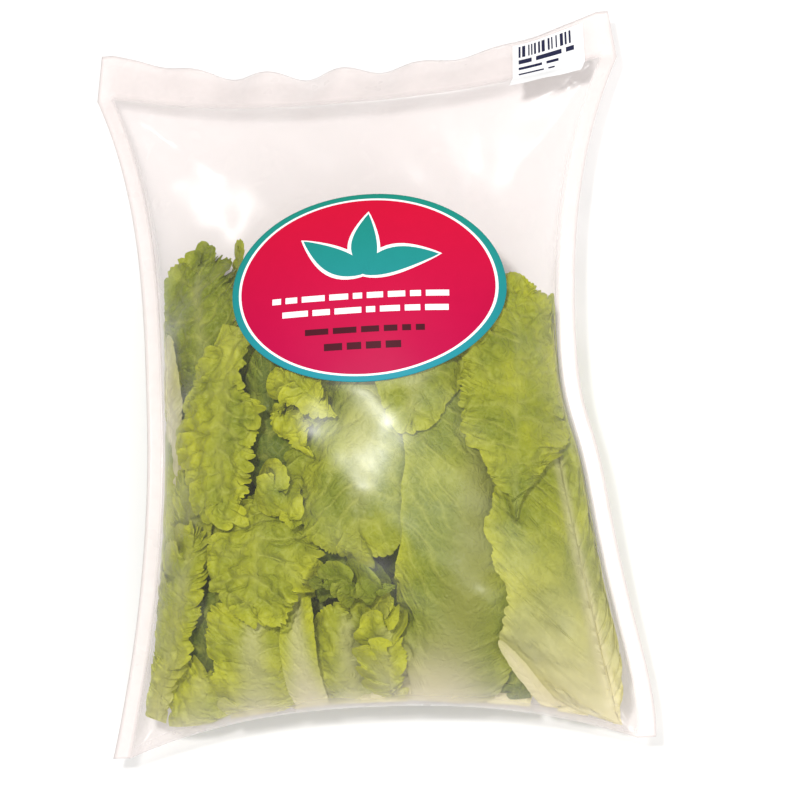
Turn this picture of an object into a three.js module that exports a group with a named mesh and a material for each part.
import * as THREE from 'three';

// A sealed clear bag of salad leaves lying on its back, the shown side up.
// X runs across the bag, Y from the folded bottom to the header, Z up from the floor.
// Millimetres throughout.

// Flat size of the empty bag
const FILM_WIDTH = 270;
const SIDE_SEAL = 9;
const POCKET_LENGTH = 338;
const HEADER = 24;
const SEAL_THICKNESS = 1.2;

// How far the filling draws the edges in at their middle
const SIDE_PULL = 27;
const RIGHT_FILL = 9;
const RIGHT_FILL_START = -0.1;
const RIGHT_FILL_BAND = 0.06;
const RIGHT_FILL_CURVE = 8;
const SEAL_PULL = 16;
const FOLD_PULL = 20;

// Heights of the filled bag
const SEAM_HEIGHT = 46;
const CORNER_DROOP = 14;
const END_DROOP = 4;
const TOP_RISE = 58;
const LOW_RISE = 52;

// Roundness of the filled form: a leafy lower half and an airier upper half
const ACROSS_FULLNESS = 2.2;
const ACROSS_SHOULDER = 0.62;
const LEAFY_FULLNESS = 2.8;
const LEAFY_SHOULDER = 0.7;
const AIRY_FULLNESS = 2.0;
const AIRY_SHOULDER = 0.85;
const LEAFY_SIDE_CURVE = 2.0;
const AIRY_SIDE_CURVE = 2.8;
const END_CURVE = 2.3;

// Header: hangs forward in the middle and waves across
const HEADER_LEAN = 33 * Math.PI / 180;
const HEADER_WAVE = 11 * Math.PI / 180;
const HEADER_WAVE_LENGTH = 40;
const HEADER_END_INSET = 3;

// Unevenness of the film over the leaves, which fill the bag up to the leaf line
const LEAF_LINE = 35;
const LEAF_LINE_BLUR = 15;
const LUMP = 1.6;
const LUMP_ACROSS = 64;
const LUMP_ALONG = 58;
const LUMP_DIAGONAL = 43;

// Gathers of the film beside the seams, each band a middle and a spread on the half size
const PUCKER = 2.4;
const SIDE_PUCKER_LENGTH = 45;
const SIDE_PUCKER_BAND = [0.86, 0.11];
const END_PUCKER_BAND = [0.9, 0.08];

// Oval label and white price label stuck on the film
const OVAL_WIDTH = 130;
const OVAL_HEIGHT = 94;
const OVAL_X = 13.5;
const OVAL_Y = 36;
const PRICE_WIDTH = 36;
const PRICE_ABOVE_SEAL = 21;
const PRICE_BELOW_SEAL = 5;
const PRICE_CENTRE = 101;
const LABEL_THICKNESS = 0.5;
const LABEL_GAP = 0.4;

// Fineness of the faceted surfaces
const ROWS = 42;
const COLUMNS = 34;
const HEADER_STRIPS = 3;
const OVAL_SECTORS = 56;
const OVAL_RINGS = 7;
const PRICE_STEPS = 9;

const TAU = 2 * Math.PI;
const POCKET_HALF = FILM_WIDTH / 2 - SIDE_SEAL;
const POCKET_CENTRE = -HEADER / 2;
const HALF_LENGTH = POCKET_LENGTH / 2;
const LOW = -1;
const HIGH = 1;

const hollow = (t, power) => 1 - Math.abs(t) ** power;
const dome = (t, fullness, shoulder) => Math.max(0, hollow(t, fullness)) ** shoulder;
const bell = (t, [middle, spread]) => Math.exp(-(((t - middle) / spread) ** 2));
const falloff = (t) => 1 / (1 + Math.exp(t));

// Plan outline of the pocket: half width at b along it, half length at a across it. Leaves that
// press against the right side fill it out toward the fold.
function halfWidth(b, side) {
  const pull = SIDE_PULL * hollow(b, b < 0 ? LEAFY_SIDE_CURVE : AIRY_SIDE_CURVE);
  const filled = falloff((b - RIGHT_FILL_START) / RIGHT_FILL_BAND) * hollow(b, RIGHT_FILL_CURVE);
  return POCKET_HALF - pull + (side > 0 ? RIGHT_FILL * filled : 0);
}
function halfLength(a, b) {
  return HALF_LENGTH - (b < 0 ? FOLD_PULL : SEAL_PULL) * hollow(a, END_CURVE);
}
const planX = (a, b) => a * halfWidth(b, a);
const planY = (a, b) => POCKET_CENTRE + b * halfLength(a, b);

// Height of the seam level, which sinks toward the ends and the corners.
const seamHeight = (a, b) => SEAM_HEIGHT - END_DROOP * b * b - CORNER_DROOP * a * a * b * b;

const fill = (a, b) => dome(a, ACROSS_FULLNESS, ACROSS_SHOULDER)
  * (b < 0 ? dome(b, LEAFY_FULLNESS, LEAFY_SHOULDER) : dome(b, AIRY_FULLNESS, AIRY_SHOULDER));

// Soft lumps where leaves press on the film: strongest over the leafy lower half,
// and faint on the shown side where the oval label stiffens the film.
function lumps(x, y, side) {
  const leafy = 0.35 + 0.65 * falloff((y - LEAF_LINE) / LEAF_LINE_BLUR);
  const reach = Math.hypot((x - OVAL_X) / OVAL_WIDTH, (y - OVAL_Y) / OVAL_HEIGHT) * 2;
  const stiff = side > 0 ? 0.85 * falloff((reach - 1.1) / 0.06) : 0;
  const swell = Math.sin(TAU * x / LUMP_ACROSS + side) * Math.sin(TAU * y / LUMP_ALONG + 1.9)
    + 0.6 * Math.sin(TAU * (x + y) / LUMP_DIAGONAL + 2.6);
  return LUMP * leafy * (1 - stiff) * swell;
}

// Gathers that run inward from the side seams and from both ends.
function puckers(a, b, x, y) {
  const sides = bell(Math.abs(a), SIDE_PUCKER_BAND)
    * Math.sin(TAU * y / SIDE_PUCKER_LENGTH + Math.sign(a));
  const ends = bell(Math.abs(b), END_PUCKER_BAND) * Math.sin(TAU * x / HEADER_WAVE_LENGTH + b);
  return PUCKER * (sides * hollow(a, 8) + 0.7 * ends * hollow(b, 10)) * hollow(a, 12);
}

// A point of the pocket's film; side is HIGH for the shown sheet, LOW for the one below.
function pocketPoint(a, b, side) {
  const x = planX(a, b);
  const y = planY(a, b);
  const uneven = hollow(a, 6) * hollow(b, 6) * lumps(x, y, side) + puckers(a, b, x, y);
  const rise = (side > 0 ? TOP_RISE : LOW_RISE) * fill(a, b);
  const z = seamHeight(a, b) + side * (SEAL_THICKNESS / 2 + rise) + uneven;
  return new THREE.Vector3(x, y, Math.max(0, z));
}

// The flat side seal, s millimetres out from the pocket.
function finPoint(a, b, s, side) {
  const edge = pocketPoint(Math.sign(a), b, side);
  edge.x += Math.sign(a) * s;
  return edge;
}

// The header, t millimetres up from the top seal at a across the bag.
function headerPoint(a, t, side) {
  const seal = Math.abs(a) > 1
    ? finPoint(a, 1, (Math.abs(a) - 1) * POCKET_HALF, side)
    : pocketPoint(a, 1, side);
  const calm = hollow(Math.min(1, Math.abs(a)), 3);
  const lean = -HEADER_LEAN * calm
    + HEADER_WAVE * calm * Math.sin(TAU * seal.x / HEADER_WAVE_LENGTH + 2.2);
  const inset = Math.max(0, Math.abs(a) - 1) * POCKET_HALF / SIDE_SEAL * HEADER_END_INSET;
  seal.x -= Math.sign(a) * inset * t / HEADER;
  seal.y += t * Math.cos(lean);
  seal.z += t * Math.sin(lean);
  return seal;
}

// Film point at a across and b along, where b above 1 climbs the header.
function filmPoint(a, b, side) {
  if (b > 1) return headerPoint(a, (b - 1) * HEADER, side);
  if (Math.abs(a) > 1) return finPoint(a, b, (Math.abs(a) - 1) * POCKET_HALF, side);
  return pocketPoint(a, b, side);
}

// Even steps drawn closer toward both ends, where the film curves most.
function steps(count, crowding) {
  return Array.from({ length: count + 1 }, (_, i) => {
    const t = 2 * i / count - 1;
    return crowding * Math.sin(t * Math.PI / 2) + (1 - crowding) * t;
  });
}

function meshOf(name, points, triangles, colour, roughness) {
  const geometry = new THREE.BufferGeometry();
  const positions = points.flatMap((p) => p.toArray());
  geometry.setAttribute('position', new THREE.Float32BufferAttribute(positions, 3));
  geometry.setIndex(triangles.flat());
  geometry.computeVertexNormals();
  const material = new THREE.MeshStandardMaterial({ color: colour, roughness, metalness: 0 });
  const mesh = new THREE.Mesh(geometry, material);
  mesh.name = name;
  return mesh;
}

// Closes two matching sheets of points into one solid: upper, lower and the rim between them.
// The layout holds the triangles of one sheet and its outer loop, counterclockwise from above.
function closeSheets(name, upper, lower, layout, colour, roughness) {
  const shift = upper.length;
  const below = layout.triangles.map(([p, q, r]) => [p + shift, r + shift, q + shift]);
  const wall = layout.rim.flatMap((p, i) => {
    const q = layout.rim[(i + 1) % layout.rim.length];
    return [[p, p + shift, q + shift], [p, q + shift, q]];
  });
  const triangles = [...layout.triangles, ...below, ...wall];
  return meshOf(name, [...upper, ...lower], triangles, colour, roughness);
}

// Layout of a grid of points, row after row.
function gridLayout(columns, rows) {
  const at = (i, j) => j * (columns + 1) + i;
  const triangles = [];
  for (let j = 0; j < rows; j += 1) {
    for (let i = 0; i < columns; i += 1) {
      triangles.push([at(i, j), at(i + 1, j), at(i + 1, j + 1)]);
      triangles.push([at(i, j), at(i + 1, j + 1), at(i, j + 1)]);
    }
  }
  const rim = [];
  for (let i = 0; i < columns; i += 1) rim.push(at(i, 0));
  for (let j = 0; j < rows; j += 1) rim.push(at(columns, j));
  for (let i = columns; i > 0; i -= 1) rim.push(at(i, rows));
  for (let j = rows; j > 0; j -= 1) rim.push(at(0, j));
  return { triangles, rim };
}

// Layout of a disc: a middle point, then rings of points around it.
function discLayout(rings, sectors) {
  const at = (ring, k) => 1 + (ring - 1) * sectors + k % sectors;
  const triangles = [];
  for (let k = 0; k < sectors; k += 1) {
    triangles.push([0, at(1, k), at(1, k + 1)]);
    for (let ring = 1; ring < rings; ring += 1) {
      triangles.push([at(ring, k), at(ring + 1, k), at(ring + 1, k + 1)]);
      triangles.push([at(ring, k), at(ring + 1, k + 1), at(ring, k + 1)]);
    }
  }
  const rim = Array.from({ length: sectors }, (_, k) => at(rings, k));
  return { triangles, rim };
}

// The bag: one closed pillow with its side seals and header.
function bag() {
  const fin = 1 + SIDE_SEAL / POCKET_HALF;
  const across = [-fin, ...steps(COLUMNS, 0.5), fin];
  const header = Array.from({ length: HEADER_STRIPS }, (_, i) => 1 + (i + 1) / HEADER_STRIPS);
  const along = [...steps(ROWS, 0.4), ...header];
  const sheet = (side) => along.flatMap((b) => across.map((a) => filmPoint(a, b, side)));
  const layout = gridLayout(across.length - 1, along.length - 1);
  return closeSheets('bag', sheet(HIGH), sheet(LOW), layout, 0xdfe8d2, 0.2);
}

// Finds where on the pocket the plan point x, y lies.
function pocketPlace(x, y) {
  let a = x / POCKET_HALF;
  let b = (y - POCKET_CENTRE) / HALF_LENGTH;
  for (let i = 0; i < 12; i += 1) {
    a = x / halfWidth(b, x);
    b = (y - POCKET_CENTRE) / halfLength(a, b);
  }
  return [a, b];
}

// Raises a film point along the film's own normal.
function lifted(a, b, height) {
  const step = 0.004;
  const here = filmPoint(a, b, HIGH);
  const right = filmPoint(a + step, b, HIGH).sub(filmPoint(a - step, b, HIGH));
  const forward = filmPoint(a, b + step, HIGH).sub(filmPoint(a, b - step, HIGH));
  return here.add(right.cross(forward).normalize().multiplyScalar(height));
}

// Oval label: rings of points laid on the shown film, as an upper and a lower sheet.
function ovalLabel() {
  const sheet = (height) => {
    const points = [lifted(...pocketPlace(OVAL_X, OVAL_Y), height)];
    for (let ring = 1; ring <= OVAL_RINGS; ring += 1) {
      for (let k = 0; k < OVAL_SECTORS; k += 1) {
        const turn = TAU * k / OVAL_SECTORS;
        const x = OVAL_X + OVAL_WIDTH / 2 * ring / OVAL_RINGS * Math.cos(turn);
        const y = OVAL_Y + OVAL_HEIGHT / 2 * ring / OVAL_RINGS * Math.sin(turn);
        points.push(lifted(...pocketPlace(x, y), height));
      }
    }
    return points;
  };
  const upper = sheet(LABEL_GAP + LABEL_THICKNESS);
  return closeSheets('oval_label', upper, sheet(LABEL_GAP), discLayout(OVAL_RINGS, OVAL_SECTORS),
    0xd81b52, 0.4);
}

// Price label: a small rectangle across the top seal near the right end of the header.
function priceLabel() {
  const left = PRICE_CENTRE - PRICE_WIDTH / 2;
  const below = (t) => 1 + t / HALF_LENGTH;
  const above = (t) => 1 + t / HEADER;
  const along = [below(-PRICE_BELOW_SEAL), below(-PRICE_BELOW_SEAL / 2), 1,
    above(PRICE_ABOVE_SEAL / 3), above(PRICE_ABOVE_SEAL * 2 / 3), above(PRICE_ABOVE_SEAL)];
  const across = Array.from({ length: PRICE_STEPS + 1 }, (_, i) => (
    (left + PRICE_WIDTH * i / PRICE_STEPS) / POCKET_HALF));
  const sheet = (height) => along.flatMap((b) => across.map((a) => lifted(a, b, height)));
  const upper = sheet(LABEL_GAP + LABEL_THICKNESS);
  return closeSheets('price_label', upper, sheet(LABEL_GAP),
    gridLayout(PRICE_STEPS, along.length - 1), 0xf4f4f2, 0.5);
}

const group = new THREE.Group();
group.name = 'salad_bag';
group.add(bag(), ovalLabel(), priceLabel());

export default group;
